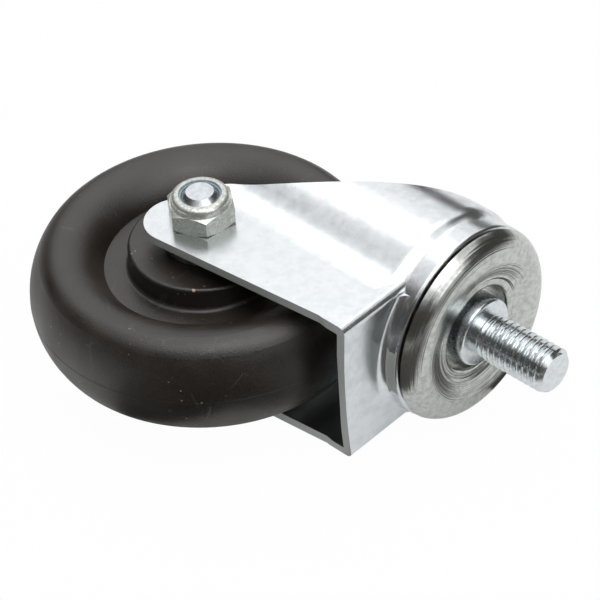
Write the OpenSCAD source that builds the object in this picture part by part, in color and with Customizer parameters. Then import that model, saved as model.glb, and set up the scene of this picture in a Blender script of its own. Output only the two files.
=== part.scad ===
// Threaded stem castor: a solid black wheel in a deep-drawn steel fork, which swivels on two rings of
// balls below a pressed top cup and a threaded stem. Millimetres, stem upwards along +Z, wheel trailing
// along +X, axle along Y. The origin lies on the stem's axis, on the collar's top face.

/* [Stem] */
// Outside diameter of the stem's thread
stem_d = 10; // [8:0.5:12]
// Length of the stem above its collar
stem_length = 18.4; // [12:0.2:40]
// Chamfer on the stem's end
stem_chamfer = 1.3; // [0.3:0.1:2]
// Diameter of the collar that the mounting face rests on
collar_d = 15; // [13:0.2:17]
// Height of the collar above the floor of the cup's well
collar_height = 4.6; // [3.8:0.1:6]
// Rounding of the collar's top edge
collar_edge = 0.7; // [0.2:0.1:1.2]
// Diameter of the shank that passes through the cup and the lower cone
shank_d = 9.6; // [7:0.1:11]
// Diameter of the riveted end below the lower cone
rivet_d = 15; // [13:0.5:18]
// Height of the riveted end
rivet_height = 2.4; // [1.2:0.1:3]
// Share of the riveted end's height that its rounding takes
rivet_rounding = 0.6; // [0.3:0.05:0.8]

/* [Top cup] */
// Outside diameter of the swivel head, shared by the cup and the fork's ring
head_d = 43.2; // [42:0.2:45]
// Thickness of the cup's sheet
cup_sheet = 1.8; // [1.2:0.1:2.2]
// Depth of the cup's crest below the collar's top face
crest_drop = 0.45; // [0.2:0.05:1.5]
// Outside radius of the rolled shoulder
roll_radius = 5; // [4.4:0.1:6]
// Depth of the cup's rim below its crest
rim_drop = 3.7; // [3.2:0.1:4.4]
// Width of the slope between the crest and the dish
dish_slope = 4.3; // [3.6:0.1:5]
// Depth of the dish's edge below the crest
dish_drop = 1.2; // [0.8:0.1:1.8]
// Height of the small step round the dish's floor
dish_step = 0.35; // [0.1:0.05:0.6]
// Width of the small step round the dish's floor
dish_step_width = 1; // [0.5:0.1:1.4]
// Width of the well round the collar
well_gap = 1.9; // [1.4:0.1:2.3]
// Rounding of the well's edge
well_edge = 0.8; // [0.3:0.1:1.2]

/* [Swivel balls] */
// Diameter of the upper balls
upper_ball_d = 5; // [4.4:0.1:5.4]
// Number of upper balls
upper_ball_count = 19; // [12:1:19]
// Diameter of the lower balls
lower_ball_d = 4; // [3.4:0.1:4.2]
// Number of lower balls
lower_ball_count = 17; // [10:1:17]
// Angle of the lower balls' contact from the vertical
lower_contact = 50; // [45:1:55]
// Running clearance of a ball in its race
ball_clear = 0.03; // [0.01:0.01:0.06]
// How much larger a race's radius is than its ball's
race_slack = 0.1; // [0.06:0.01:0.2]
// Width of the lower cone's flange beyond the middle of its balls
cone_flange = 2; // [1.6:0.1:2.1]
// Thickness of the lower cone below its race
cone_floor = 1.8; // [1.2:0.1:2.5]

/* [Fork] */
// Thickness of the fork's sheet
fork_sheet = 2; // [1.6:0.1:2.4]
// Width across the outside of the legs
fork_width = 35; // [33.4:0.1:36]
// Outside diameter of the skirt below the ring
skirt_d = 45.2; // [44.6:0.2:48]
// Rounding of the skirt's shoulder
shoulder_radius = 4; // [3:0.1:5]
// Hollow between the ring and the skirt's shoulder
shoulder_hollow = 3; // [1.5:0.1:4]
// Gap between the cup's rim and the fork's ring
swivel_gap = 0.9; // [0.5:0.1:1.4]
// Height of the fork's ring above the crown plate
ring_height = 3.7; // [3:0.1:4.5]
// Fillet between the ring and the crown plate
ring_fillet = 2; // [0.8:0.1:2.6]
// Rounding of the ring's top edge
ring_edge = 0.8; // [0.3:0.1:1.2]
// Distance from the stem's axis to the middle of the crown's front edge
crown_reach = 32.6; // [30:0.1:36]
// Bow of the crown's front edge
crown_bow = 0.85; // [0.3:0.05:2]
// Outside radius of the bend between the crown and a leg
bend_radius = 1.6; // [0.8:0.1:3]
// Radius of the hollow crease between a leg and the skirt
crease_radius = 15.5; // [8:0.5:20]
// Diameter of the hole that the lower cone passes through
head_hole_d = 25.2; // [24.6:0.2:26]

/* [Leg outline] */
// Trail of the axle behind the stem's axis
axle_offset = 24.7; // [20:0.1:28]
// Height of the crown's top face above the axle
axle_drop = 46.4; // [44.8:0.1:56]
// Radius of the leg's front lower corner
tip_radius = 7; // [5:0.1:9]
// Distance of that corner's centre in front of the axle
tip_forward = 4.1; // [1:0.1:5]
// Distance of that corner's centre below the axle
tip_below = 3.1; // [1:0.1:5]
// Radius of the leg's rear lower corner
knee_radius = 8; // [3:0.5:12]
// Distance of that corner's centre behind the axle
knee_behind = 3.6; // [2:0.1:7]
// Distance of the leg's waist behind the crown's front corner
waist_set_back = 0.1; // [0:0.1:2]
// Distance of the leg's waist below the crown
waist_below = 7; // [4:0.5:12]
// Height of the skirt at the back, below the ring's top
skirt_height = 7.6; // [6.5:0.1:14]
// Radius of the long curve of the rear edge
rear_curve = 95; // [70:1:150]

/* [Wheel] */
// Diameter of the wheel
wheel_d = 75; // [70:0.5:76]
// Width of the tread
tread_width = 23; // [21:0.2:24]
// Height of the tread's crown above its widest place
tread_crown = 7; // [6:0.1:8.5]
// Radius of the tread's shoulders
tread_shoulder = 5; // [3:0.1:5.5]
// Thickness of the wheel's web
web_thickness = 11.6; // [8:0.2:14]
// Diameter of the crease where the tread's flank meets the web
crease_d = 42.8; // [38:0.2:45]
// Diameter of the hub
hub_d = 32.2; // [26:0.2:34]
// Length of the hub
hub_length = 22.4; // [20:0.2:23]
// Rounding of the hub's edge
hub_edge = 0.7; // [0.2:0.1:1.5]
// Fillet at the foot of the hub
hub_fillet = 1; // [0.4:0.1:2]
// Wall of the plain bush in the hub
bush_wall = 1.5; // [1:0.1:2.5]
// Distance of the bush's ends inside the hub's faces
bush_set_in = 0.2; // [0.1:0.1:1]

/* [Axle] */
// Diameter of the axle bolt
bolt_d = 8; // [6:0.5:8.5]
// Length of the bolt below its head
bolt_length = 41.6; // [39.5:0.1:44]
// Chamfer on the bolt's end
bolt_chamfer = 1.1; // [0.3:0.1:1.2]
// Width across the flats of the bolt's head and of the nut
hex_flats = 13; // [13:0.1:14]
// Height of the bolt's head
bolt_head_height = 5.3; // [4:0.1:6]
// Height of the nut, with its collar
nut_height = 6.1; // [5.8:0.1:8]
// Height of the nut's hexagon
nut_hex_height = 4.3; // [4:0.1:5]
// Diameter of the nut's collar
nut_collar_d = 12.3; // [12:0.1:12.8]
// Rounding of the nut's collar
nut_collar_edge = 1.2; // [0.6:0.1:1.4]
// Turn of the nut about the axle
nut_turn = 53; // [0:1:60]
// Outside diameter of the nylon ring in the nut
insert_d = 10.4; // [10:0.1:10.8]
// Height of the nylon ring
insert_height = 1.9; // [1.2:0.1:2]
// Depth of the nylon ring below the nut's rim
insert_depth = 0.45; // [0.2:0.05:0.8]
// Width of the nut's turned-in lip over the nylon ring
nut_lip = 0.75; // [0.4:0.05:0.9]
// Wall of the axle sleeve
sleeve_wall = 1.8; // [1.2:0.1:2]
// Outside diameter of the washers
washer_d = 17; // [16:0.2:20]
// Running clearance between the hub and the washers
hub_clear = 0.15; // [0.1:0.05:0.3]
// Radial running clearance of the bush on its sleeve
bush_clear = 0.06; // [0.03:0.01:0.1]
// Radial clearance of the bolt in the legs and the sleeve
bolt_clear = 0.2; // [0.1:0.05:0.4]
// Radial clearance of parts that are pushed together
fit_clear = 0.03; // [0.01:0.01:0.05]

/* [Hidden] */
$fn = 96;
// Overlap that joins or clears shapes
eps = 0.5;
// Least rounding inside a bend of the sheet
least_bend = 0.3;
// Slope of a hexagon's chamfer
hex_slope = 30;
// Steps along a long curve and along a corner
curve_steps = 24;
corner_steps = 12;
big = 200;

// The swivel head
head_r = head_d / 2;
race_r = head_r - roll_radius;
dish_r = race_r - dish_slope;
well_r = collar_d / 2 + well_gap;
slope_fall = roll_radius - dish_drop;
slope_angle = asin(roll_radius / norm([dish_slope, slope_fall])) - atan2(slope_fall, dish_slope);
crest_z = -crest_drop;
roll_z = crest_z - roll_radius;
rim_z = crest_z - rim_drop;
well_z = -collar_height;
ring_z = rim_z - swivel_gap;
crown_z = ring_z - ring_height;
axle_z = crown_z - axle_drop;

// The upper balls run under the cup's roll, in the groove of the fork's head
upper_ball_r = upper_ball_d / 2;
upper_ball_z = crest_z - cup_sheet - ball_clear - upper_ball_r;
groove_r = upper_ball_r + race_slack;
groove_z = upper_ball_z - ball_clear + race_slack;
bulge_r = groove_r + fork_sheet;

// The lower balls bear on the inner flank of the groove's underside
lower_ball_r = lower_ball_d / 2;
lower_reach = bulge_r + lower_ball_r + ball_clear;
lower_race_r = race_r - lower_reach * sin(lower_contact);
lower_ball_z = groove_z - lower_reach * cos(lower_contact);
cone_race_r = lower_ball_r + race_slack;
cone_shift = race_slack - ball_clear;
cone_race_x = lower_race_r + cone_shift * sin(lower_contact);
cone_race_z = lower_ball_z + cone_shift * cos(lower_contact);
cone_top_z = well_z - cup_sheet;
cone_bottom_z = cone_race_z - cone_race_r - cone_floor;

// The fork
leg_y = fork_width / 2;
inner_y = leg_y - fork_sheet;
skirt_r = skirt_d / 2;
bottom_z = axle_z - tip_below - tip_radius - eps;
bow_radius = (leg_y * leg_y + crown_bow * crown_bow) / (2 * crown_bow);
crease_y = leg_y + crease_radius;
crease_x = sqrt(pow(skirt_r + crease_radius, 2) - crease_y * crease_y);
crease_angle = atan2(crease_y, -crease_x);
crease_depth = shoulder_radius + fork_sheet;

// The ring runs through a hollow into the skirt's rounded shoulder
shoulder = [skirt_r - shoulder_radius, crown_z - shoulder_radius];
shoulder_sum = shoulder_radius + shoulder_hollow;
hollow_x = head_r + shoulder_hollow;
hollow = [hollow_x, shoulder[1] + sqrt(pow(shoulder_sum, 2) - pow(hollow_x - shoulder[0], 2))];
shoulder_turn = shoulder + (hollow - shoulder) * shoulder_radius / shoulder_sum;

// Outline of a leg, in the plane of X and Z
tip = [axle_offset + tip_forward, axle_z - tip_below];
waist = [crown_reach - crown_bow - waist_set_back, crown_z - waist_below];
rear_top = [-skirt_r, ring_z - skirt_height];
knee_x = axle_offset - knee_behind;
rear_bottom = [knee_x - knee_radius, axle_z];
rear_centre = arc_centre(rear_bottom, rear_top, rear_curve);
knee_rise = sqrt(pow(rear_curve + knee_radius, 2) - pow(knee_x - rear_centre[0], 2));
knee = [knee_x, rear_centre[1] + knee_rise];

// The wheel and the axle
wheel_r = wheel_d / 2;
tread_y = tread_width / 2;
tread_r = wheel_r - tread_crown;
web_y = web_thickness / 2;
hub_r = hub_d / 2;
hub_y = hub_length / 2;
bolt_r = bolt_d / 2;
bolt_hole_r = bolt_r + bolt_clear;
sleeve_r = bolt_hole_r + sleeve_wall;
bush_r = sleeve_r + bush_clear + bush_wall;
// Each side of the hub has this many washers, each a node of its own
washer_count = 3;
washer_step = (inner_y - hub_y - hub_clear) / washer_count;
hex_r = hex_flats / sqrt(3);
nut_y = -leg_y - nut_height;
insert_y = nut_y + insert_depth;

// Centre of the arc of the given radius from one point to another, on the arc's right-hand side
function arc_centre(a, b, radius) =
    let (chord = b - a, half = norm(chord) / 2)
    (a + b) / 2 + [-chord[1], chord[0]] / norm(chord) * sqrt(radius * radius - half * half);

// Points along an arc between two angles
function arc(centre, radius, start, end, steps) =
    [for (i = [0 : steps]) let (turn = start + (end - start) * i / steps) centre + radius * [cos(turn), sin(turn)]];

// Angle at which the tangent from a point above a circle touches its front
function touch_angle(from, centre, radius) =
    let (v = from - centre)
    atan2(v[1], v[0]) - acos(radius / norm(v));

// Angle at which the common tangent below two circles touches both
function under_angle(a, ra, b, rb) =
    let (v = b - a)
    atan2(v[1], v[0]) + 90 - asin((ra - rb) / norm(v));

// Square in the plane of a revolved section, from one corner to the other
module span(r0, z0, r1, z1) {
    translate([r0, z0])
        square([r1 - r0, z1 - z0]);
}

// Turned bar from z0 to z1 with its upper edge rounded
module rounded_bar(r, z0, z1, edge) {
    rotate_extrude()
        rounded_section(r, z0, z1, edge);
}

// Half section of a bar with its upper edge rounded
module rounded_section(r, z0, z1, edge) {
    span(0, z0, r, z1 - edge);
    span(0, z0, r - edge, z1);
    intersection() {
        translate([r - edge, z1 - edge])
            circle(edge);
        span(0, z0, r, z1);
    }
}

// Turns a revolved shape's axis from +Z to -Y and sets it on the axle
module on_axle() {
    translate([axle_offset, 0, axle_z])
        rotate([90, 0, 0])
            children();
}

// Ring of balls about the stem's axis
module ball_ring(count, ring_r, z, ball_r) {
    for (i = [0 : count - 1])
        rotate([0, 0, i * 360 / count])
            translate([ring_r, 0, z])
                sphere(ball_r);
}

module stem() {
    color("silver") {
        cylinder(h = stem_length - stem_chamfer, d = stem_d);
        translate([0, 0, stem_length - stem_chamfer])
            cylinder(h = stem_chamfer, d1 = stem_d, d2 = stem_d - 2 * stem_chamfer);
        rounded_bar(collar_d / 2, well_z, 0, collar_edge);
        translate([0, 0, cone_bottom_z - eps])
            cylinder(h = well_z - cone_bottom_z + 2 * eps, d = shank_d);
        translate([0, 0, cone_bottom_z])
            mirror([0, 0, 1])
                rounded_bar(rivet_d / 2, 0, rivet_height, rivet_height * rivet_rounding);
    }
}

// Half section of the cup's outer face, down to the rim
module cup_form(inset) {
    edge_z = crest_z - dish_drop - inset;
    crest = [-sin(slope_angle), cos(slope_angle)] * (roll_radius - inset);
    difference() {
        union() {
            translate([race_r, roll_z])
                circle(roll_radius - inset);
            polygon([
                [0, rim_z - big], [race_r, rim_z - big], [race_r, roll_z], [race_r, roll_z] + crest,
                [dish_r + inset * tan(slope_angle / 2), edge_z], [0, edge_z]
            ]);
        }
        cup_well(inset, edge_z);
        span(0, rim_z - big, head_r, roll_z - roll_radius);
    }
}

// Half section of what the dish's step and the well take out of the cup's form
module cup_well(inset, edge_z) {
    floor_z = edge_z - dish_step;
    step_r = max(dish_r - dish_step_width, well_r + well_edge) + inset;
    polygon([
        [0, edge_z + eps], [step_r + dish_step_width / 2, edge_z + eps],
        [step_r + dish_step_width / 2, edge_z], [step_r, floor_z],
        [well_r + inset, floor_z], [well_r + inset, well_z - inset], [0, well_z - inset]
    ]);
    difference() {
        span(0, floor_z - well_edge, well_r + inset + well_edge, floor_z);
        translate([well_r + inset + well_edge, floor_z - well_edge])
            circle(well_edge);
    }
}

module top_cup() {
    color("gainsboro")
        rotate_extrude()
            difference() {
                cup_form(0);
                cup_form(cup_sheet);
                span(0, rim_z - big, head_r, min(rim_z, well_z - cup_sheet));
                span(well_r + cup_sheet + eps, rim_z - big, head_r + eps, rim_z);
                span(0, rim_z - big, shank_d / 2 + fit_clear, crest_z + eps);
            }
}

module upper_balls() {
    color("lightsteelblue")
        ball_ring(upper_ball_count, race_r, upper_ball_z, upper_ball_r);
}

module lower_balls() {
    color("lightsteelblue")
        ball_ring(lower_ball_count, lower_race_r, lower_ball_z, lower_ball_r);
}

module lower_cone() {
    color("darkgray")
        rotate_extrude()
            difference() {
                union() {
                    span(shank_d / 2 + fit_clear, cone_bottom_z, lower_race_r - lower_ball_r + eps, cone_top_z);
                    span(shank_d / 2 + fit_clear, cone_bottom_z, lower_race_r + cone_flange, cone_race_z - eps);
                }
                translate([cone_race_x, cone_race_z])
                    circle(cone_race_r);
            }
}

// Half section of the fork's head: a groove of the sheet's thickness, inside the ring
module head_section() {
    difference() {
        intersection() {
            translate([race_r, groove_z])
                circle(bulge_r);
            span(head_hole_d / 2, crown_z - big, head_r - fork_sheet / 2, ring_z);
        }
        translate([race_r, groove_z])
            circle(groove_r);
    }
}

// Outline of the legs, the skirt and the crown, seen along the axle
module side_outline() {
    front = touch_angle(waist, tip, tip_radius);
    below = under_angle(tip, tip_radius, knee, knee_radius);
    rear_low = atan2(knee[1] - rear_centre[1], knee[0] - rear_centre[0]);
    rear_high = atan2(rear_top[1] - rear_centre[1], rear_top[0] - rear_centre[0]);
    polygon(concat(
        [[-skirt_r - eps, ring_z + eps], [crown_reach, ring_z + eps], [crown_reach, crown_z], waist],
        arc(tip, tip_radius, front, below - 360, curve_steps),
        arc(knee, knee_radius, below - 360, rear_low - 180, corner_steps),
        arc(rear_centre, rear_curve, rear_low, rear_high, curve_steps),
        [[-skirt_r - eps, rear_top[1]]]
    ));
}

// Half section of the ring, the hollow below it and the skirt's shoulder, filled to the axis
module skirt_section() {
    rounded_section(head_r, bottom_z, ring_z, ring_edge);
    rounded_section(skirt_r, bottom_z, crown_z, shoulder_radius);
    difference() {
        polygon([
            [head_r - eps, hollow[1]], hollow, shoulder_turn, [head_r - eps, shoulder_turn[1] - eps]
        ]);
        translate(hollow)
            circle(shoulder_hollow);
    }
}

// Half section of the space inside the ring and the skirt
module skirt_space() {
    span(0, bottom_z - eps, head_r - fork_sheet, ring_z + eps);
    rounded_section(skirt_r - fork_sheet, bottom_z - eps, crown_z - fork_sheet, shoulder_radius - fork_sheet);
}

// Channel between and below the legs' faces, with its upper edges bent
module channel(half_width, top_z, edge) {
    rotate([90, 0, 90])
        linear_extrude(big) {
            span(-half_width, bottom_z, half_width, top_z - edge);
            span(-half_width + edge, bottom_z, half_width - edge, top_z);
            for (side = [-1, 1])
                translate([side * (half_width - edge), top_z - edge])
                    circle(edge);
        }
}

// Filling of the hollow crease between each leg and the skirt
module crease(radius, top_z, edge) {
    for (side = [0, 1])
        mirror([0, side, 0])
            translate([crease_x, -crease_y, 0])
                rotate([0, 0, 90])
                    rotate_extrude(angle = crease_angle - 90)
                        difference() {
                            span(radius, bottom_z, radius + crease_depth, top_z);
                            difference() {
                                span(radius, top_z - edge, radius + edge, top_z);
                                translate([radius + edge, top_z - edge])
                                    circle(edge);
                            }
                        }
}

// Fillet where the ring rises from the flat of the crown
module crown_fillet() {
    intersection() {
        rotate_extrude()
            difference() {
                span(head_r - eps, crown_z - eps, head_r + ring_fillet, crown_z + ring_fillet);
                translate([head_r + ring_fillet, crown_z + ring_fillet])
                    circle(ring_fillet);
            }
        translate([0, -leg_y + bend_radius, crown_z - eps])
            cube([big, 2 * (leg_y - bend_radius), 2 * ring_fillet + eps]);
    }
}

// The drawn sheet as a solid, before its inside is taken out
module fork_block() {
    intersection() {
        union() {
            rotate_extrude()
                skirt_section();
            channel(leg_y, crown_z, bend_radius);
            crease(crease_radius, crown_z, shoulder_radius);
            crown_fillet();
        }
        rotate([90, 0, 0])
            linear_extrude(2 * big, center = true)
                side_outline();
    }
}

module fork() {
    inner_bend = max(least_bend, bend_radius - fork_sheet);
    color("whitesmoke")
        union() {
            difference() {
                fork_block();
                rotate_extrude()
                    skirt_space();
                channel(inner_y, crown_z - fork_sheet, inner_bend);
                crease(crease_radius + fork_sheet, crown_z - fork_sheet, shoulder_radius - fork_sheet);
                crown_front_cut();
                on_axle()
                    cylinder(h = big, r = bolt_hole_r, center = true);
            }
            rotate_extrude()
                head_section();
        }
}

// What lies in front of the bowed edge of the crown
module crown_front_cut() {
    difference() {
        translate([0, -big / 2, crown_z - waist_below])
            cube([big, big, waist_below + eps]);
        translate([crown_reach - bow_radius, 0, crown_z - waist_below - eps])
            cylinder(h = waist_below + 3 * eps, r = bow_radius, $fn = 360);
    }
}

// Half section of the tread on one side of the wheel's middle: x is along the axle
module tread_half() {
    crown_curve = (pow(tread_y - tread_shoulder, 2) + pow(tread_crown, 2) - pow(tread_shoulder, 2))
        / (2 * (tread_crown - tread_shoulder));
    shoulder_lean = (tread_y - tread_shoulder) / (crown_curve - tread_shoulder);
    flank_drop = tread_r - crease_d / 2;
    flank_x = (pow(tread_y, 2) - pow(web_y, 2) - pow(flank_drop, 2)) / (2 * (tread_y - web_y));
    flank_curve = tread_y - flank_x;
    intersection() {
        translate([0, wheel_r - crown_curve])
            circle(crown_curve, $fn = 180);
        span(0, tread_r, crown_curve * shoulder_lean, wheel_r + eps);
    }
    translate([tread_y - tread_shoulder, tread_r])
        intersection() {
            circle(tread_shoulder);
            span(-tread_shoulder, 0, tread_shoulder, tread_shoulder);
        }
    intersection() {
        translate([flank_x, tread_r])
            circle(flank_curve, $fn = 180);
        span(0, tread_r - flank_curve, tread_y, tread_r);
    }
    span(0, crease_d / 2, web_y, tread_r);
}

// Half section of the web and the hub on one side of the wheel's middle
module hub_half() {
    span(0, bush_r, web_y, crease_d / 2 + eps);
    span(0, bush_r, hub_y - hub_edge, hub_r);
    span(0, bush_r, hub_y, hub_r - hub_edge);
    translate([hub_y - hub_edge, hub_r - hub_edge])
        circle(hub_edge);
    difference() {
        span(web_y - eps, hub_r - eps, web_y + hub_fillet, hub_r + hub_fillet);
        translate([web_y + hub_fillet, hub_r + hub_fillet])
            circle(hub_fillet);
    }
}

module wheel() {
    color("dimgray")
        on_axle()
            rotate_extrude($fn = 144)
                for (side = [0, 1])
                    mirror([0, side])
                        rotate(90)
                            mirror([0, 1])
                                union() {
                                    tread_half();
                                    hub_half();
                                }
}

// Tube on the axle from one place to another along Y
module axle_tube(y0, y1, bore_r, outer_r) {
    on_axle()
        translate([0, 0, -y1])
            difference() {
                cylinder(h = y1 - y0, r = outer_r);
                translate([0, 0, -eps])
                    cylinder(h = y1 - y0 + 2 * eps, r = bore_r);
            }
}

module wheel_bush() {
    color("ivory")
        axle_tube(-hub_y + bush_set_in, hub_y - bush_set_in, sleeve_r + bush_clear, bush_r - fit_clear);
}

module axle_sleeve() {
    color("darkgray")
        axle_tube(-inner_y, inner_y, bolt_hole_r, sleeve_r);
}

// One washer of a stack: the stack lies against the leg's inner face
module washer(side, index) {
    outer_y = inner_y - index * washer_step;
    y0 = side > 0 ? outer_y - washer_step : -outer_y;
    color("silver")
        axle_tube(y0, y0 + washer_step, sleeve_r + fit_clear, washer_d / 2);
}

// Hexagon along +Z with both ends chamfered
module hexagon(height) {
    rise = (hex_r - hex_flats / 2) * tan(hex_slope);
    intersection() {
        cylinder(h = height, r = hex_r, $fn = 6);
        rotate_extrude()
            polygon([
                [0, 0], [hex_flats / 2, 0], [hex_r, rise],
                [hex_r, height - rise], [hex_flats / 2, height], [0, height]
            ]);
    }
}

module axle_bolt() {
    color("silver")
        on_axle() {
            translate([0, 0, -leg_y - bolt_head_height])
                hexagon(bolt_head_height);
            translate([0, 0, -leg_y - eps])
                cylinder(h = bolt_length - bolt_chamfer + eps, r = bolt_r);
            translate([0, 0, bolt_length - leg_y - bolt_chamfer])
                cylinder(h = bolt_chamfer, r1 = bolt_r, r2 = bolt_r - bolt_chamfer);
        }
}

module axle_nut() {
    insert_r = insert_d / 2 + fit_clear;
    color("lightgray")
        on_axle()
            translate([0, 0, leg_y])
                rotate([0, 0, nut_turn])
                    difference() {
                        union() {
                            hexagon(nut_hex_height);
                            rounded_bar(nut_collar_d / 2, 0, nut_height, nut_collar_edge);
                        }
                        translate([0, 0, -eps])
                            cylinder(h = nut_height, r = bolt_r + fit_clear);
                        translate([0, 0, nut_height - insert_depth - insert_height - fit_clear])
                            cylinder(h = insert_height + 2 * fit_clear, r = insert_r);
                        translate([0, 0, nut_height - insert_depth])
                            cylinder(h = insert_depth + eps, r = insert_r - nut_lip);
                    }
}

module nut_insert() {
    color("cornflowerblue")
        on_axle()
            translate([0, 0, -insert_y - insert_height])
                difference() {
                    cylinder(h = insert_height, d = insert_d);
                    translate([0, 0, -eps])
                        cylinder(h = insert_height + 2 * eps, r = bolt_r + fit_clear);
                }
}

stem();
top_cup();
upper_balls();
fork();
lower_balls();
lower_cone();
wheel();
wheel_bush();
axle_sleeve();
washer(-1, 0);  // near_washer_1
washer(-1, 1);  // near_washer_2
washer(-1, 2);  // near_washer_3
washer(1, 0);  // far_washer_1
washer(1, 1);  // far_washer_2
washer(1, 2);  // far_washer_3
axle_bolt();
axle_nut();
nut_insert();
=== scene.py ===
"""Looks, light and camera of a threaded stem castor that lies on its side."""

import logging
import math
from dataclasses import dataclass, field
from enum import Enum

import bpy
import numpy as np
from mathutils import Matrix, Vector


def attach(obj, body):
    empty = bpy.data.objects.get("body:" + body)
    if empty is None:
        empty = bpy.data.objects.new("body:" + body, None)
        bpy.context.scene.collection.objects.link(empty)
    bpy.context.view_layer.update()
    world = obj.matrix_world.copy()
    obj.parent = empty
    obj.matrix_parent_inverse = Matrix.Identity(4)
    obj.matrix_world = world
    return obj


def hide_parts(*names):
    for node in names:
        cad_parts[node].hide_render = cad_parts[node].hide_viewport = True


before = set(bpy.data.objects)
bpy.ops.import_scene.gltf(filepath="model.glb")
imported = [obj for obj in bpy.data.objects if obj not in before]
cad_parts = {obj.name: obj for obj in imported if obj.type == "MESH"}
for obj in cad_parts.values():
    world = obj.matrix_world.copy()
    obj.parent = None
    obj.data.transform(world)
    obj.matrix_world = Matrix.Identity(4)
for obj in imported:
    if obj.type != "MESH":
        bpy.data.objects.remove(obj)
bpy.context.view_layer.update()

log = logging.getLogger("castor")

MM = 0.001
PHOTO_SIDE = 600
WHITE = (1.0, 1.0, 1.0, 1.0)
BLACK = (0.0, 0.0, 0.0)
STUDIO_ROUGHNESS = 0.9
# The display's curve: a straight toe, and a power above it
CHANNEL_MAX = 255
TOE_END = 0.04045
TOE_SLOPE = 12.92
CURVE_OFFSET = 0.055
CURVE_POWER = 2.4
# Where the fork's sheared edges are: outside the legs' inner faces and in front of this place along X
LEG_INSIDE = 15.4
EDGE_START = 8.0

Colour = tuple[float, float, float]
Number = float | bpy.types.NodeSocket
Tint = Colour | bpy.types.NodeSocket


def srgb(red: float, green: float, blue: float) -> Colour:
    """Turns a display colour into a linear one.

    Args:
        red: The red channel, from 0 to 255.
        green: The green channel, from 0 to 255.
        blue: The blue channel, from 0 to 255.

    Returns:
        The linear colour, with channels from 0 to 1.
    """

    def linear(value: float) -> float:
        """Turns one channel from display to linear.

        Args:
            value: The channel, from 0 to 255.

        Returns:
            The linear channel, from 0 to 1.
        """
        share = value / CHANNEL_MAX
        curve = ((share + CURVE_OFFSET) / (1 + CURVE_OFFSET)) ** CURVE_POWER
        return share / TOE_SLOPE if share <= TOE_END else curve

    return linear(red), linear(green), linear(blue)


def put(name: str, data: bpy.types.ID) -> bpy.types.Object:
    """Adds an object to the scene.

    Args:
        name: The object's name.
        data: Its mesh, lamp or camera.

    Returns:
        The object.
    """
    piece = bpy.data.objects.new(name, data)
    bpy.context.scene.collection.objects.link(piece)
    return piece


class Axis(Enum):
    """The axis that a piece is turned or pressed about, as what remains across it."""

    STEM = (1.0, 1.0, 0.0)


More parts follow.
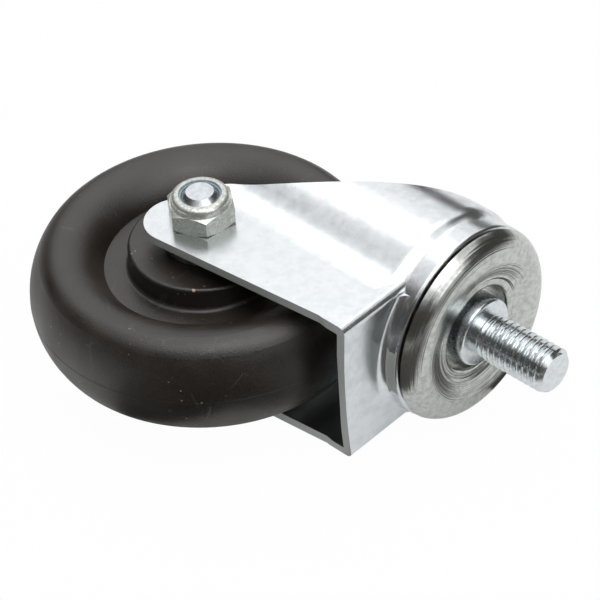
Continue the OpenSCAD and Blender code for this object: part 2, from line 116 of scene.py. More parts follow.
class Graph:
    """Places and links the nodes of one shader tree."""

    # Which sockets of a Mix node hold the share and the two colours, and which the mixed colour
    MIX_INPUTS = (0, 6, 7)
    MIX_RESULT = 2

    def __init__(self, tree: bpy.types.NodeTree) -> None:
        """Starts on an empty tree."""
        self.tree = tree

    @classmethod
    def cleared(cls, owner: bpy.types.Material | bpy.types.World) -> "Graph":
        """Empties the tree of a material or a world, to start on it.

        Args:
            owner: The material or the world.

        Returns:
            The tree's graph.
        """
        owner.use_nodes = True
        owner.node_tree.nodes.clear()
        return cls(owner.node_tree)

    def add(self, kind: str, **settings: object) -> bpy.types.Node:
        """Adds a node.

        Args:
            kind: The node's type.
            settings: Properties of the node, set before it is used.

        Returns:
            The new node.
        """
        node = self.tree.nodes.new(kind)
        for key, value in settings.items():
            setattr(node, key, value)
        return node

    def feed(self, node: bpy.types.Node, **inputs: object) -> bpy.types.Node:
        """Sets a node's inputs by name, with spaces written as underscores.

        Args:
            node: The node that takes the inputs.
            inputs: Plain values, output sockets to link, or None to leave an input as it is.

        Returns:
            The same node.
        """
        for key, value in inputs.items():
            socket = node.inputs[key.replace("_", " ")]
            if isinstance(value, bpy.types.NodeSocket):
                self.tree.links.new(value, socket)
            elif value is not None:
                socket.default_value = value
        return node

    def use(self, effect: bpy.types.NodeTree, **inputs: object) -> bpy.types.NodeOutputs:
        """Adds a shared effect.

        Args:
            effect: The effect's group.
            inputs: What it is fed.

        Returns:
            The effect's output sockets.
        """
        return self.feed(self.add("ShaderNodeGroup", node_tree=effect), **inputs).outputs

    def sums(self, operation: str, first: Number, second: Number | None = None) -> bpy.types.NodeSocket:
        """Does arithmetic on one or two values.

        Args:
            operation: The Math node's operation.
            first: A socket or a number.
            second: A socket or a number, or nothing.

        Returns:
            The result's socket.
        """
        node = self.add("ShaderNodeMath", operation=operation)
        for socket, value in zip(node.inputs, (first, second)):
            if isinstance(value, bpy.types.NodeSocket):
                self.tree.links.new(value, socket)
            elif value is not None:
                socket.default_value = value
        return node.outputs[0]

    def ramp(self, value: bpy.types.NodeSocket, low: float, high: float) -> bpy.types.NodeSocket:
        """Stretches a value so that low becomes 0 and high becomes 1, held within them.

        Args:
            value: The value to stretch.
            low: What becomes 0.
            high: What becomes 1.

        Returns:
            The stretched value's socket.
        """
        node = self.add("ShaderNodeMapRange", interpolation_type="SMOOTHSTEP")
        self.feed(node, Value=value, From_Min=low, From_Max=high)
        return node.outputs["Result"]

    def span(self, value: bpy.types.NodeSocket, low: float, high: float) -> bpy.types.NodeSocket:
        """Turns a value from 0 to 1 into one from low to high.

        Args:
            value: The value to turn.
            low: What 0 becomes.
            high: What 1 becomes.

        Returns:
            The turned value's socket.
        """
        node = self.add("ShaderNodeMapRange")
        return self.feed(node, Value=value, To_Min=low, To_Max=high).outputs["Result"]

    def bump(self, height: bpy.types.NodeSocket, depth: float, reach: float,
             under: bpy.types.NodeSocket | None = None) -> bpy.types.NodeSocket:
        """Tilts the surface as if it rose and sank.

        Args:
            height: How high the surface is.
            depth: How strongly it shows.
            reach: How far the highest is above the lowest, in metres.
            under: The tilt that it is laid over, if there is one.

        Returns:
            The tilted normal's socket.
        """
        node = self.add("ShaderNodeBump")
        return self.feed(node, Height=height, Strength=depth, Distance=reach, Normal=under).outputs[0]

    def blend(self, share: bpy.types.NodeSocket, first: Tint, second: Tint) -> bpy.types.NodeSocket:
        """Mixes two colours.

        Args:
            share: How much of the second shows.
            first: A colour or a socket.
            second: A colour or a socket.

        Returns:
            The mixed colour's socket.
        """
        node = self.add("ShaderNodeMix", data_type="RGBA")
        for index, value in zip(self.MIX_INPUTS, (share, first, second)):
            if isinstance(value, bpy.types.NodeSocket):
                self.tree.links.new(value, node.inputs[index])
            else:
                node.inputs[index].default_value = (*value, 1.0)
        return node.outputs[self.MIX_RESULT]

    def noise(self, at: bpy.types.NodeSocket, scale: Number, detail: float = 3.0) -> bpy.types.NodeSocket:
        """Samples soft noise.

        Args:
            at: The place on the surface.
            scale: How many blots there are to a metre.
            detail: How many finer layers it has.

        Returns:
            The noise value's socket.
        """
        node = self.add("ShaderNodeTexNoise")
        return self.feed(node, Vector=at, Scale=scale, Detail=detail).outputs["Fac"]


class Effects:
    """The shared surface effects, each a node group that is built once."""

    # Mottle: how finely it is layered, how much of it is blots, and where it sets in and is full
    BLOT_DETAIL = 4.0
    GRAIN_DETAIL = 2.0
    BLOT_SHARE = 0.65
    MOTTLE_SPAN = (0.38, 0.64)
    # Rings: how finely they are layered
    RING_DETAIL = 2.0
    # Specks and scuffs lie in patches: how fine these are against them, and where they set in and are full
    PATCH_SCALE = 0.13
    PATCH_SPAN = (0.5, 0.62)
    SCUFF_PATCH_SCALE = 1.7
    SCUFF_PATCH_SPAN = (0.55, 0.63)
    # Sheared edges: how much a face turns to the front at least, and to a side and up at most
    FACES_FRONT = 0.8
    FACES_SIDEWAYS = 0.25
    FACES_UP = 0.5

    def __init__(self) -> None:
        """Builds every group."""
        self.mottle = self._mottle()
        self.specks = self._specks()
        self.rings = self._rings()
        self.marks = self._marks()
        self.edges = self._edges()

    @staticmethod
    def _group(name: str, inputs: dict[str, str], outputs: dict[str, str]
               ) -> tuple[Graph, dict[str, bpy.types.NodeSocket], bpy.types.Node]:
        """Makes an empty group with its sockets.

        Args:
            name: The group's name.
            inputs: Socket names with their kinds.
            outputs: Socket names with their kinds.

        Returns:
            The group's graph, its input sockets by name and its output node.
        """
        tree = bpy.data.node_groups.new(name, "ShaderNodeTree")
        for label, kind in inputs.items():
            tree.interface.new_socket(name=label, in_out="INPUT", socket_type=f"NodeSocket{kind}")
        for label, kind in outputs.items():
            tree.interface.new_socket(name=label, in_out="OUTPUT", socket_type=f"NodeSocket{kind}")
        graph = Graph(tree)
        entry = graph.add("NodeGroupInput")
        return graph, {socket.name: socket for socket in entry.outputs}, graph.add("NodeGroupOutput")

    def _mottle(self) -> bpy.types.NodeTree:
        """Blots and fine grain of a plated sheet.

        Returns:
            The effect's group.
        """
        graph, given, out = self._group(
            "plating_mottle", {"Place": "Vector", "Blots": "Float", "Grain": "Float"},
            {"Mask": "Float", "Height": "Float"})
        blots = graph.noise(given["Place"], given["Blots"], self.BLOT_DETAIL)
        grain = graph.noise(given["Place"], given["Grain"], self.GRAIN_DETAIL)
        mixed = graph.sums("ADD", graph.sums("MULTIPLY", blots, self.BLOT_SHARE),
                           graph.sums("MULTIPLY", grain, 1 - self.BLOT_SHARE))
        graph.feed(out, Mask=graph.ramp(mixed, *self.MOTTLE_SPAN), Height=grain)
        return graph.tree

    def _specks(self) -> bpy.types.NodeTree:
        """Scattered specks of dust or dirt.

        Returns:
            The effect's group.
        """
        graph, given, out = self._group(
            "dust_specks", {"Place": "Vector", "Scale": "Float", "Size": "Float"}, {"Mask": "Float"})
        cells = graph.add("ShaderNodeTexVoronoi", feature="F1")
        graph.feed(cells, Vector=given["Place"], Scale=given["Scale"])
        spread = graph.sums("MULTIPLY", given["Scale"], self.PATCH_SCALE)
        patches = graph.ramp(graph.noise(given["Place"], spread), *self.PATCH_SPAN)
        spot = graph.sums("LESS_THAN", cells.outputs["Distance"], given["Size"])
        graph.feed(out, Mask=graph.sums("MULTIPLY", spot, patches))
        return graph.tree

    def _rings(self) -> bpy.types.NodeTree:
        """Fine rings about the axis that a piece was turned or pressed on.

        Returns:
            The effect's group.
        """
        graph, given, out = self._group(
            "turned_rings", {"Across": "Vector", "Scale": "Float"}, {"Height": "Float"})
        length = graph.add("ShaderNodeVectorMath", operation="LENGTH")
        graph.feed(length, Vector=given["Across"])
        noise = graph.add("ShaderNodeTexNoise", noise_dimensions="1D")
        graph.feed(noise, W=length.outputs["Value"], Scale=given["Scale"], Detail=self.RING_DETAIL)
        graph.feed(out, Height=noise.outputs["Fac"])
        return graph.tree

    def _marks(self) -> bpy.types.NodeTree:
        """Thin curved scuffs in scattered places.

        Returns:
            The effect's group.
        """
        graph, given, out = self._group(
            "thin_scuffs", {"Place": "Vector", "Scale": "Float", "Width": "Float"}, {"Mask": "Float"})
        cells = graph.add("ShaderNodeTexVoronoi", feature="DISTANCE_TO_EDGE")
        graph.feed(cells, Vector=given["Place"], Scale=given["Scale"])
        line = graph.sums("LESS_THAN", cells.outputs["Distance"], given["Width"])
        spread = graph.sums("MULTIPLY", given["Scale"], self.SCUFF_PATCH_SCALE)
        patches = graph.ramp(graph.noise(given["Place"], spread), *self.SCUFF_PATCH_SPAN)
        graph.feed(out, Mask=graph.sums("MULTIPLY", line, patches))
        return graph.tree

    def _edges(self) -> bpy.types.NodeTree:
        """The sheared edges of the fork's sheet, which are duller than its faces.

        Returns:
            The effect's group.
        """
        graph, given, out = self._group(
            "sheared_edges", {"Place": "Vector", "Normal": "Vector"}, {"Mask": "Float"})
        at = graph.feed(graph.add("ShaderNodeSeparateXYZ"), Vector=given["Place"]).outputs
        facing = graph.feed(graph.add("ShaderNodeSeparateXYZ"), Vector=given["Normal"]).outputs
        legs = graph.sums("GREATER_THAN", graph.sums("ABSOLUTE", at["Y"]), LEG_INSIDE * MM)
        crown = graph.sums("GREATER_THAN", facing["X"], self.FACES_FRONT)
        mask = graph.sums("MAXIMUM", legs, crown)
        for limit in (graph.sums("LESS_THAN", graph.sums("ABSOLUTE", facing["Y"]), self.FACES_SIDEWAYS),
                      graph.sums("LESS_THAN", facing["Z"], self.FACES_UP),
                      graph.sums("GREATER_THAN", at["X"], EDGE_START * MM)):
            mask = graph.sums("MULTIPLY", mask, limit)
        graph.feed(out, Mask=mask)
        return graph.tree


@dataclass(frozen=True)
class Finish:
    """What every finish shares: a name and a way to start its material."""

    name: str

    def start(self) -> tuple[bpy.types.Material, Graph, bpy.types.Node, bpy.types.NodeSocket]:
        """Makes an empty material.

        Returns:
            The material, its graph, its shader and the place on the surface.
        """
        material = bpy.data.materials.new(self.name)
        graph = Graph.cleared(material)
        shader = graph.add("ShaderNodeBsdfPrincipled")
        out = graph.add("ShaderNodeOutputMaterial")
        graph.tree.links.new(shader.outputs[0], out.inputs[0])
        place = graph.add("ShaderNodeTexCoord").outputs["Object"]
        return material, graph, shader, place

    def build(self, effects: Effects) -> bpy.types.Material:
        """Makes the material, which each kind of finish does in its own way."""
        raise NotImplementedError


@dataclass(frozen=True)
class PlatedZinc(Finish):
    """Zinc or bare steel, with blots, grain, smudges and the rings that turning or pressing leaves."""

    light: Colour
    dark: Colour
    smooth: float
    dull: float
    blots: float = 260.0
    grain: float = 5200.0
    grain_depth: float = 0.02
    rings: Axis | None = None
    ring_scale: float = 2400.0
    ring_depth: float = 0.0
    metal: float = 1.0
    edge: Colour | None = None
    edge_metal: float = 0.35
    edge_roughness: float = 0.5
    smudge: Colour | None = None
    smudge_scale: float = 260.0
    smudge_size: float = 0.09
    grain_reach: float = 0.0004
    ring_reach: float = 0.0005

    def build(self, effects: Effects) -> bpy.types.Material:
        """Makes the material.

        Args:
            effects: The shared surface effects.

        Returns:
            The material.
        """
        material, graph, shader, place = self.start()
        mottle = graph.use(effects.mottle, Place=place, Blots=self.blots, Grain=self.grain)
        mask = mottle["Mask"]
        normal = graph.bump(mottle["Height"], self.grain_depth, self.grain_reach)
        if self.rings is not None:
            across = graph.add("ShaderNodeVectorMath", operation="MULTIPLY")
            graph.tree.links.new(place, across.inputs[0])
            across.inputs[1].default_value = self.rings.value
            rings = graph.use(effects.rings, Across=across.outputs[0], Scale=self.ring_scale)
            normal = graph.bump(rings["Height"], self.ring_depth, self.ring_reach, normal)
        rough = graph.span(mask, self.smooth, self.dull)
        colour = graph.blend(mask, self.light, self.dark)
        if self.smudge is not None:
            specks = graph.use(effects.specks, Place=place, Scale=self.smudge_scale, Size=self.smudge_size)
            colour = graph.blend(specks["Mask"], colour, self.smudge)
        graph.feed(shader, Base_Color=colour, Metallic=self.metal, Roughness=rough, Normal=normal)
        if self.edge is not None:
            self.shear(graph, shader, effects)
        return material

    def shear(self, graph: Graph, shader: bpy.types.Node, effects: Effects) -> None:
        """Makes the sheet's edges duller than its faces.

        Args:
            graph: The material's graph.
            shader: The material's shader, with its faces already dressed.
            effects: The shared surface effects.
        """
        where = graph.add("ShaderNodeTexCoord").outputs
        mask = graph.use(effects.edges, Place=where["Object"], Normal=where["Normal"])["Mask"]
        face = shader.inputs["Base Color"].links[0].from_socket
        polish = shader.inputs["Roughness"].links[0].from_socket
        metal = graph.span(mask, self.metal, self.edge_metal)
        rough = graph.sums("MAXIMUM", polish, graph.sums("MULTIPLY", mask, self.edge_roughness))
        colour = graph.blend(mask, face, self.edge)
        graph.feed(shader, Base_Color=colour, Metallic=metal, Roughness=rough)


@dataclass(frozen=True)
class MouldedBlack(Finish):
    """Black moulded rubber with scuffs, dust and one small chip."""

    base: Colour
    worn: Colour
    dust: Colour
    roughness: float
    nick: Colour
    nick_at: tuple[float, float, float]
    nick_radius: float = 0.38
    blots: float = 90.0
    grain: float = 3000.0
    grain_depth: float = 0.16
    grain_reach: float = 0.0004
    dust_scale: float = 520.0
    dust_size: float = 0.11
    dust_share: float = 0.5
    scuff_scale: float = 95.0
    scuff_width: float = 0.012
    scuff_share: float = 0.07
    worn_roughness: float = 0.12
    gloss: float = 0.8

    def build(self, effects: Effects) -> bpy.types.Material:
        """Makes the material.

        Args:
            effects: The shared surface effects.

        Returns:
            The material.
        """
        material, graph, shader, place = self.start()
        mottle = graph.use(effects.mottle, Place=place, Blots=self.blots, Grain=self.grain)
        colour = graph.blend(mottle["Mask"], self.base, self.worn)
        specks = graph.use(effects.specks, Place=place, Scale=self.dust_scale, Size=self.dust_size)
        dusty = graph.sums("MULTIPLY", specks["Mask"], self.dust_share)
        colour = graph.blend(dusty, colour, self.dust)
        scuffs = graph.use(effects.marks, Place=place, Scale=self.scuff_scale, Width=self.scuff_width)
        scuffed = graph.sums("MULTIPLY", scuffs["Mask"], self.scuff_share)
        colour = graph.blend(scuffed, colour, self.dust)
        away = graph.add("ShaderNodeVectorMath", operation="DISTANCE")
        graph.tree.links.new(place, away.inputs[0])
        away.inputs[1].default_value = [value * MM for value in self.nick_at]
        chipped = graph.sums("LESS_THAN", away.outputs["Value"], self.nick_radius * MM)
        colour = graph.blend(chipped, colour, self.nick)
        normal = graph.bump(mottle["Height"], self.grain_depth, self.grain_reach)
        rough = graph.span(mottle["Mask"], self.roughness, self.roughness + self.worn_roughness)
        graph.feed(shader, Base_Color=colour, Roughness=rough, Normal=normal, Specular_IOR_Level=self.gloss)
        return material


@dataclass(frozen=True)
class Nylon(Finish):
    """Plain nylon with a slight cloudiness."""

    base: Colour
    pale: Colour
    roughness: float
    blots: float = 700.0
    grain: float = 6000.0
    grain_depth: float = 0.06
    grain_reach: float = 0.0003

    def build(self, effects: Effects) -> bpy.types.Material:
        """Makes the material.

        Args:
            effects: The shared surface effects.

        Returns:
            The material.
        """
        material, graph, shader, place = self.start()
        mottle = graph.use(effects.mottle, Place=place, Blots=self.blots, Grain=self.grain)
        colour = graph.blend(mottle["Mask"], self.base, self.pale)
        normal = graph.bump(mottle["Height"], self.grain_depth, self.grain_reach)
        graph.feed(shader, Base_Color=colour, Roughness=self.roughness, Normal=normal)
        return material


@dataclass
class Dresser:
    """Builds each finish once and puts it on CAD nodes and added pieces."""

    effects: Effects
    made: dict[str, bpy.types.Material] = field(default_factory=dict)

    def material(self, finish: Finish) -> bpy.types.Material:
        """Gives the material of a finish, made the first time it is asked for.

        Args:
            finish: The finish.

        Returns:
            Its material.
        """
        if finish.name not in self.made:
            self.made[finish.name] = finish.build(self.effects)
        return self.made[finish.name]

    def dress(self, piece: bpy.types.Object, finish: Finish) -> None:
        """Puts a finish on a whole piece.

        Args:
            piece: The object to dress.
            finish: What it is made of.
        """
        if not piece.data.materials:
            piece.data.materials.append(None)
        for index in range(len(piece.material_slots)):
            piece.material_slots[index].link = "OBJECT"
            piece.material_slots[index].material = self.material(finish)
        log.info("%s: %s", piece.name, finish.name)

    def dress_nodes(self, finish: Finish, *names: str) -> None:
        """Puts a finish on CAD nodes, named one by one."""
        for name in names:
            self.dress(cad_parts[name], finish)


FORK_ZINC = PlatedZinc(
    "fork_zinc", light=srgb(226, 230, 233), dark=srgb(212, 217, 220), smooth=0.20, dull=0.27, blots=420.0,
    grain_depth=0.045, edge=srgb(176, 180, 178), smudge=srgb(150, 154, 154))
CUP_ZINC = PlatedZinc(
    "cup_zinc", light=srgb(198, 200, 198), dark=srgb(176, 178, 174), smooth=0.17, dull=0.26, blots=900.0,
    grain_depth=0.05, rings=Axis.STEM, ring_depth=0.22)
STEM_ZINC = PlatedZinc(
    "stem_zinc", light=srgb(218, 224, 226), dark=srgb(204, 210, 212), smooth=0.20, dull=0.28, blots=900.0)
BOLT_ZINC = PlatedZinc(
    "bolt_zinc", light=srgb(216, 221, 224), dark=srgb(190, 196, 200), smooth=0.24, dull=0.34, blots=900.0)
NUT_ZINC = PlatedZinc(
    "nut_zinc", light=srgb(214, 217, 210), dark=srgb(176, 180, 172), smooth=0.26, dull=0.42, blots=1500.0,
    grain=7000.0, grain_depth=0.08, metal=0.75)
WASHER_ZINC = PlatedZinc(
    "washer_zinc", light=srgb(200, 202, 200), dark=srgb(160, 162, 158), smooth=0.25, dull=0.40, blots=900.0)
CONE_STEEL = PlatedZinc(
    "cone_steel", light=srgb(150, 146, 138), dark=srgb(110, 104, 95), smooth=0.25, dull=0.40,
    rings=Axis.STEM, ring_depth=0.08)
BALL_STEEL = PlatedZinc(
    "ball_steel", light=srgb(205, 180, 135), dark=srgb(160, 130, 85), smooth=0.12, dull=0.25, blots=1200.0)
SLEEVE_STEEL = PlatedZinc(
    "sleeve_steel", light=srgb(190, 190, 186), dark=srgb(150, 150, 146), smooth=0.25, dull=0.38, blots=900.0)
WHEEL_RUBBER = MouldedBlack(
    "wheel_rubber", base=srgb(25, 18, 12), worn=srgb(35, 28, 22), dust=srgb(158, 152, 144), roughness=0.38,
    nick=srgb(172, 142, 116), nick_at=(37.4, -11.1, -45.6))
INSERT_NYLON = Nylon("insert_nylon", base=srgb(118, 140, 156), pale=srgb(150, 168, 180), roughness=0.35)
BUSH_NYLON = Nylon("bush_nylon", base=srgb(205, 200, 188), pale=srgb(222, 218, 208), roughness=0.45)


@dataclass
class ThreadedStem:
    """The stem with its thread, collar, shank and rivet, turned as one closed skin."""

    radius: float = 5.0
    length: float = 18.4
    chamfer: float = 0.9
    pitch: float = 1.5
    depth: float = 0.8
    neck_radius: float = 4.4
    neck_height: float = 0.9
    run_out: float = 0.6
    first_crest: float = 4.6
    full_crest_z: float = 4.8
    collar_radius: float = 7.5
    collar_edge: float = 0.7
    well_z: float = -4.6
    shank_radius: float = 4.8
    rivet_radius: float = 7.5
    rivet_top: float = -12.83
    rivet_bottom: float = -15.23
    rivet_edge: float = 1.44
    sides: int = 96
    turn_steps: int = 14
    corner_steps: int = 7
    sharp: float = 40.0
    crest_share: float = 0.14
    flank_share: float = 0.66
    softness: float = 0.35
    weld: float = 1e-7

    def below_rows(self) -> list[tuple[float, float]]:
        """Follows the plain part of the stem.

        Returns:
            The radius and height of each row, from the rivet to the collar's top.
        """
        rows = [(0.0, self.rivet_bottom)]
        rows += self.corner(self.rivet_radius, self.rivet_bottom, self.rivet_edge, -1)
        rows += [(self.rivet_radius, self.rivet_top), (self.shank_radius, self.rivet_top)]
        rows += [(self.shank_radius, self.well_z), (self.collar_radius, self.well_z)]
        rows += self.corner(self.collar_radius, 0.0, self.collar_edge, 1)
        return rows

    def corner(self, radius: float, z: float, edge: float, up: int) -> list[tuple[float, float]]:
        """Rounds an outside corner.

        Args:
            radius: The corner's radius from the axis.
            z: The corner's height.
            edge: The rounding.
            up: 1 if the corner is on top, -1 if it is below.

        Returns:
            Rows along the rounding, from the lower one to the upper.
        """
        angles = np.linspace(0, math.pi / 2, self.corner_steps)
        steps = [(edge * math.sin(t), edge * math.cos(t)) for t in angles]
        rows = [(radius - edge + a, z - up * (edge - b)) for a, b in steps]
        return rows[::-1] if up > 0 else rows

    def profile(self, phase: np.ndarray) -> np.ndarray:
        """Gives the thread's outline.

        Args:
            phase: Places along the stem, counted in pitches from a crest.

        Returns:
            How deep the thread is there, from 0 on the crest to 1 at the root.
        """
        away = np.abs(phase - np.round(phase)) * 2
        ramp = np.clip((away - self.crest_share) / self.flank_share, 0, 1)
        return ramp * ramp * (3 - 2 * ramp) * self.softness + ramp * (1 - self.softness)

    def skin(self, turn: np.ndarray) -> tuple[np.ndarray, np.ndarray]:
        """Gives the radius and height of the threaded rows.

        Args:
            turn: The angle of each side, as a share of a turn.

        Returns:
            Radii and heights, a row to each step up the stem.
        """
        steps = int(self.length / self.pitch * self.turn_steps)
        z = np.linspace(0.0, self.length, steps)[:, None] + 0 * turn[None, :]
        root = self.radius - self.depth
        crest = np.interp(z, (self.neck_height, self.full_crest_z), (self.first_crest, self.radius))
        thread = crest - (crest - root) * self.profile(z / self.pitch - turn[None, :])
        share = np.clip((z - self.neck_height) / self.run_out, 0, 1)
        radius = self.neck_radius + (thread - self.neck_radius) * share
        limit = self.radius - np.clip(z - self.length + self.chamfer, 0, self.chamfer)
        return np.minimum(radius, limit), z

    def build(self) -> bpy.types.Object:
        """Makes the stem's mesh and puts it in place of the CAD stem.

        Returns:
            The new piece.
        """
        turn = np.arange(self.sides) / self.sides
        plain = self.below_rows()
        thread_r, thread_z = self.skin(turn)
        radius = np.vstack([np.array([[r] * self.sides for r, _ in plain]), thread_r, 0 * thread_r[:1]])
        height = np.vstack([np.array([[z] * self.sides for _, z in plain]), thread_z, thread_z[-1:]])
        angle = turn * math.tau
        points = np.stack([radius * np.cos(angle), radius * np.sin(angle), height], 2) * MM
        rows = len(points)
        grid = np.arange(rows * self.sides).reshape(rows, self.sides)
        after = np.roll(grid, -1, axis=1)
        faces = np.stack([grid[:-1], after[:-1], after[1:], grid[1:]], 2).reshape(-1, 4)
        mesh = bpy.data.meshes.new("threaded_stem")
        mesh.from_pydata(points.reshape(-1, 3).tolist(), [], faces.tolist())
        mesh.validate()
        stem = put("threaded_stem", mesh)
        weld = stem.modifiers.new("weld", "WELD")
        weld.merge_threshold = self.weld
        mesh.shade_smooth()
        mesh.set_sharp_from_angle(angle=math.radians(self.sharp))
        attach(stem, "mount")
        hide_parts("stem")
        return stem


@dataclass
class SwivelHead:
    """The stem, the cup that carries it, the lower cone and the two rings of balls."""

    dresser: Dresser
    stem: ThreadedStem = field(default_factory=ThreadedStem)

    def build(self) -> None:
        """Makes the stem and dresses the head."""
        self.dresser.dress(self.stem.build(), STEM_ZINC)
        self.dresser.dress_nodes(CUP_ZINC, "top_cup")
        self.dresser.dress_nodes(CONE_STEEL, "lower_cone")
        self.dresser.dress_nodes(BALL_STEEL, "upper_balls", "lower_balls")


@dataclass
class ForkUnit:
    """The drawn fork and what is clamped to it."""

    dresser: Dresser
    washers_a_side: int = 3

    def build(self) -> None:
        """Dresses the fork, the bolt, the nut, the washers and the sleeve."""
        self.dresser.dress_nodes(FORK_ZINC, "fork")
        self.dresser.dress_nodes(BOLT_ZINC, "axle_bolt")
        self.dresser.dress_nodes(NUT_ZINC, "axle_nut")
        self.dresser.dress_nodes(INSERT_NYLON, "nut_insert")
        self.dresser.dress_nodes(SLEEVE_STEEL, "axle_sleeve")
        for side in ("near", "far"):
            names = [f"{side}_washer_{number + 1}" for number in range(self.washers_a_side)]
            self.dresser.dress_nodes(WASHER_ZINC, *names)


@dataclass
class PartingLine:
    """The fine raised line that the mould leaves round the middle of the tread."""

    axle_x: float = 24.7
    axle_z: float = -55.15
    radius: float = 37.5
    rise: float = 0.035
    sink: float = 0.05
    half_width: float = 0.15
    sides: int = 180

    def build(self) -> bpy.types.Object:
        """Makes the line as a thin closed ring that turns with the wheel.

        Returns:
            The new piece.
        """
        section = ((self.radius - self.sink, -self.half_width), (self.radius + self.rise, 0.0),
                   (self.radius - self.sink, self.half_width))
        count = len(section)
        points = []
        for turn in np.linspace(0, math.tau, self.sides, endpoint=False):
            points += [((self.axle_x + r * math.cos(turn)) * MM, y * MM,
                        (self.axle_z + r * math.sin(turn)) * MM) for r, y in section]
        faces = []
        for side in range(self.sides):
            here, there = side * count, (side + 1) % self.sides * count
            for i in range(count):
                after = (i + 1) % count
                faces.append((here + i, here + after, there + after, there + i))
        mesh = bpy.data.meshes.new("parting_line")
        mesh.from_pydata(points, [], faces)
        line = put("parting_line", mesh)
        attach(line, "wheel")
        return line


@dataclass
class WheelUnit:
    """The moulded wheel, the line that its mould left and its bush."""

    dresser: Dresser
    line: PartingLine = field(default_factory=PartingLine)

    def build(self) -> None:
        """Makes the parting line and dresses the wheel and its bush."""
        self.dresser.dress_nodes(WHEEL_RUBBER, "wheel")
        self.dresser.dress(self.line.build(), WHEEL_RUBBER)
        self.dresser.dress_nodes(BUSH_NYLON, "wheel_bush")


@dataclass(frozen=True)
class SoftBox:
    """A square lamp that faces the castor."""

    name: str
    towards: tuple[float, float, float]
    distance: float
    side: float
    radiance: float

    def build(self) -> None:
        """Hangs the lamp."""
        light = bpy.data.lights.new(self.name, "AREA")
        light.shape = "SQUARE"
        light.size = self.side
        light.energy = self.radiance * math.pi * self.side ** 2
        lamp = put(self.name, light)
        away = Vector(self.towards).normalized()
        lamp.location = away * self.distance
        lamp.rotation_mode = "QUATERNION"
        lamp.rotation_quaternion = (-away).to_track_quat("-Z", "Y")
        lamp.visible_camera = False


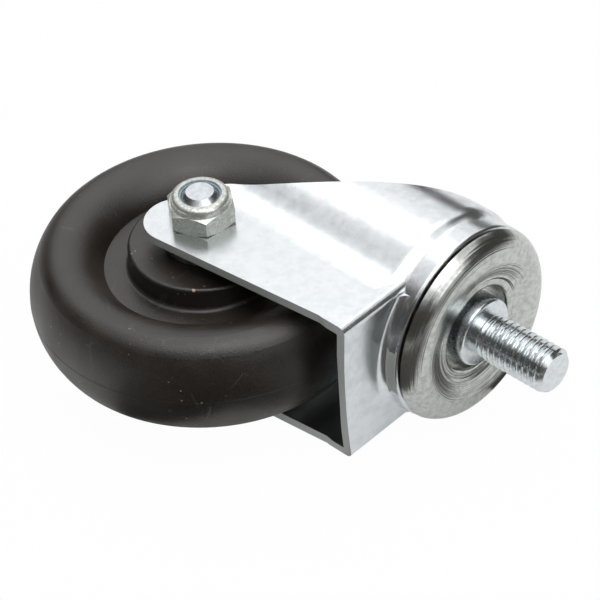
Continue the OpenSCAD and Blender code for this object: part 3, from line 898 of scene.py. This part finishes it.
@dataclass
class Studio:
    """The pale floor that the castor lies on, the lamps over it and the dark cloth round it."""

    floor_y: float = 23.0
    floor_side: float = 6000.0
    paint: float = 0.62
    glow: float = 0.28
    seen_through: float = 0.97
    fill: float = 0.6
    wall_radius: float = 1600.0
    wall_height: float = 1700.0
    wall_sides: int = 48
    # The dark cloth's colour, also used for the painted shade on the floor
    cloth_and_shade: Colour = (0.075, 0.070, 0.062)
    ceiling: float = 0.93
    # Painted shade: a dark sheet on the floor in front of the castor that only reflections see
    painted_front_shade: tuple[tuple[float, float], ...] = (
        (33.0, -14.0), (56.0, -14.0), (56.0, -55.0), (420.0, -55.0), (420.0, 420.0), (33.0, 420.0))
    # Painted shadow: a dark sheet on the floor under the head, where the contact shadow falls, that only
    # reflections see
    painted_head_shadow: tuple[tuple[float, float], ...] = (
        (-26.0, -5.0), (-6.0, -5.0), (-6.0, 13.0), (-26.0, 13.0))
    strip_lift: float = 0.1
    boxes: tuple[SoftBox, ...] = (
        SoftBox("left_box", towards=(-0.50, -0.68, -0.53), distance=1.2, side=1.35, radiance=1.02),
        SoftBox("right_box", towards=(0.02, -0.68, 0.73), distance=1.2, side=0.85, radiance=1.70),
        SoftBox("top_box", towards=(0.12, -0.98, 0.14), distance=1.5, side=0.95, radiance=2.3),
    )

    def build(self) -> None:
        """Makes the world, the floor, the cloth and the lamps."""
        self.world()
        self.floor()
        self.surround()
        for box in self.boxes:
            box.build()

    def world(self) -> None:
        """Makes a surround that is seen and mirrored as white, and lights dull surfaces with less."""
        world = bpy.data.worlds.new("surround")
        bpy.context.scene.world = world
        graph = Graph.cleared(world)
        path = graph.add("ShaderNodeLightPath").outputs
        seen = graph.sums("MAXIMUM", path["Is Camera Ray"], path["Is Glossy Ray"])
        seen = graph.sums("MAXIMUM", seen, path["Is Transmission Ray"])
        sky = graph.add("ShaderNodeBackground")
        graph.feed(sky, Color=WHITE, Strength=graph.span(seen, self.fill, 1.0))
        out = graph.add("ShaderNodeOutputWorld")
        graph.tree.links.new(sky.outputs[0], out.inputs[0])

    def floor(self) -> None:
        """Makes the floor under the castor's far side.

        It is a pale sheet that glows a little. The camera sees through nearly all of it, so its shadow is
        faint, and a wheel that the fork has swung below it still shows.
        """
        material = bpy.data.materials.new("pale_floor")
        graph = Graph.cleared(material)
        path = graph.add("ShaderNodeLightPath").outputs
        grey = (self.paint, self.paint, self.paint, 1.0)
        paint = graph.feed(graph.add("ShaderNodeBsdfDiffuse"), Color=grey).outputs[0]
        glow = graph.feed(graph.add("ShaderNodeEmission"), Color=WHITE, Strength=self.glow).outputs[0]
        clear = graph.add("ShaderNodeBsdfTransparent").outputs[0]
        lit = self.join(graph, "ShaderNodeAddShader", paint, glow)
        seen = self.join(graph, "ShaderNodeMixShader", lit, clear,
                         graph.sums("MULTIPLY", path["Is Camera Ray"], self.seen_through))
        below = graph.add("ShaderNodeNewGeometry").outputs["Backfacing"]
        out = graph.add("ShaderNodeOutputMaterial")
        graph.tree.links.new(self.join(graph, "ShaderNodeMixShader", seen, clear, below), out.inputs[0])
        half = self.floor_side / 2
        corners = ((-half, -half), (half, -half), (half, half), (-half, half))
        self.sheet("floor", corners, self.floor_y, material)

    @staticmethod
    def join(graph: Graph, kind: str, first: bpy.types.NodeSocket, second: bpy.types.NodeSocket,
             share: bpy.types.NodeSocket | None = None) -> bpy.types.NodeSocket:
        """Adds or mixes two shaders.

        Args:
            graph: The graph that they are in.
            kind: The type of the joining node.
            first: The first shader.
            second: The second shader.
            share: How much of the second shows, if they are mixed.

        Returns:
            The joined shader's socket.
        """
        node = graph.add(kind)
        shaders = [socket for socket in node.inputs if socket.type == "SHADER"]
        graph.tree.links.new(first, shaders[0])
        graph.tree.links.new(second, shaders[1])
        if share is not None:
            graph.feed(node, Fac=share)
        return node.outputs[0]

    def surround(self) -> None:
        """Stands dark cloth round the floor, lays painted floor shade as dark sheets and adds a pale
        ceiling.
        """
        cloth_and_shade = self.plain("dark_cloth_and_shade", self.cloth_and_shade)
        pale = self.plain("pale_ceiling", BLACK, self.ceiling)
        turns = [step * math.tau / self.wall_sides for step in range(self.wall_sides)]
        reach = self.wall_radius
        foot = [(reach * math.cos(t), self.floor_y, reach * math.sin(t)) for t in turns]
        head = [(x, -self.wall_height, z) for x, _, z in foot]
        count = self.wall_sides
        faces = [(i, (i + 1) % count, count + (i + 1) % count, count + i) for i in range(count)]
        strip_y = self.floor_y - self.strip_lift
        walls = [
            self.panel("cloth_wall", foot + head, faces, cloth_and_shade),
            self.panel("ceiling", head, [tuple(range(count))], pale),
        ]
        shade_strips = [
            self.sheet("painted_front_shade", self.painted_front_shade, strip_y, cloth_and_shade),
            self.sheet("painted_head_shadow", self.painted_head_shadow, strip_y, cloth_and_shade),
        ]
        for piece in walls + shade_strips:
            piece.visible_camera = False
        # The strips are painted shade: only reflections see them, and they neither light nor shade the
        # castor
        for piece in shade_strips:
            piece.visible_diffuse = False
            piece.visible_shadow = False

    @staticmethod
    def plain(name: str, colour: Colour, glow: float = 0.0) -> bpy.types.Material:
        """Makes a dull material for the studio.

        Args:
            name: The material's name.
            colour: Its colour.
            glow: How bright it shines by itself, where 1 is white.

        Returns:
            The material.
        """
        material = bpy.data.materials.new(name)
        material.use_nodes = True
        shader = material.node_tree.nodes["Principled BSDF"]
        shader.inputs["Base Color"].default_value = (*colour, 1.0)
        shader.inputs["Roughness"].default_value = STUDIO_ROUGHNESS
        shader.inputs["Emission Color"].default_value = WHITE
        shader.inputs["Emission Strength"].default_value = glow
        return material

    def sheet(self, name: str, outline: tuple[tuple[float, float], ...], y: float,
              material: bpy.types.Material) -> bpy.types.Object:
        """Lays a flat sheet parallel to the floor.

        Args:
            name: The sheet's name.
            outline: The x and z of its corners, in millimetres.
            y: Where it lies, in millimetres.
            material: What it is made of.

        Returns:
            The sheet.
        """
        corners = [(x, y, z) for x, z in outline]
        return self.panel(name, corners, [tuple(range(len(corners)))], material)

    @staticmethod
    def panel(name: str, corners: list[tuple[float, float, float]], faces: list[tuple[int, ...]],
              material: bpy.types.Material) -> bpy.types.Object:
        """Makes a panel that isn't part of the castor.

        Args:
            name: The panel's name.
            corners: Its corners in millimetres.
            faces: Which corners make each face.
            material: What it is made of.

        Returns:
            The panel.
        """
        mesh = bpy.data.meshes.new(name)
        mesh.from_pydata([tuple(value * MM for value in corner) for corner in corners], [], faces)
        mesh.materials.append(material)
        panel = put(name, mesh)
        return panel


@dataclass
class PhotoCamera:
    """The camera at the photograph's viewing angle."""

    place: tuple[float, float, float] = (314.7523, -374.7515, 273.0250)
    right: tuple[float, float, float] = (-0.6859086, 0.0534586, 0.7257214)
    down: tuple[float, float, float] = (0.5062248, 0.7514820, 0.4230972)
    ahead: tuple[float, float, float] = (-0.5227484, 0.6575842, -0.5425101)
    focal_pixels: float = 2746.42
    sensor: float = 36.0
    clip: tuple[float, float] = (0.01, 50.0)

    def build(self) -> None:
        """Makes the camera and sets it as the scene's."""
        data = bpy.data.cameras.new("photo_camera")
        data.sensor_fit = "HORIZONTAL"
        data.sensor_width = self.sensor
        data.lens = self.focal_pixels / PHOTO_SIDE * self.sensor
        data.clip_start, data.clip_end = self.clip
        camera = put("photo_camera", data)
        axes = Matrix((Vector(self.right), -Vector(self.down), -Vector(self.ahead)))
        turn = axes.transposed().to_4x4()
        camera.matrix_world = Matrix.Translation(Vector(self.place) * MM) @ turn
        bpy.context.scene.camera = camera


def main() -> None:
    """Builds the castor, the studio and the camera, in that order."""
    logging.basicConfig(level=logging.INFO, format="%(name)s: %(message)s")
    bpy.context.scene.view_settings.view_transform = "Standard"
    dresser = Dresser(Effects())
    for part in (SwivelHead(dresser), ForkUnit(dresser), WheelUnit(dresser), Studio(), PhotoCamera()):
        part.build()
        log.info("built: %s", type(part).__name__)


if __name__ == "__main__":
    main()
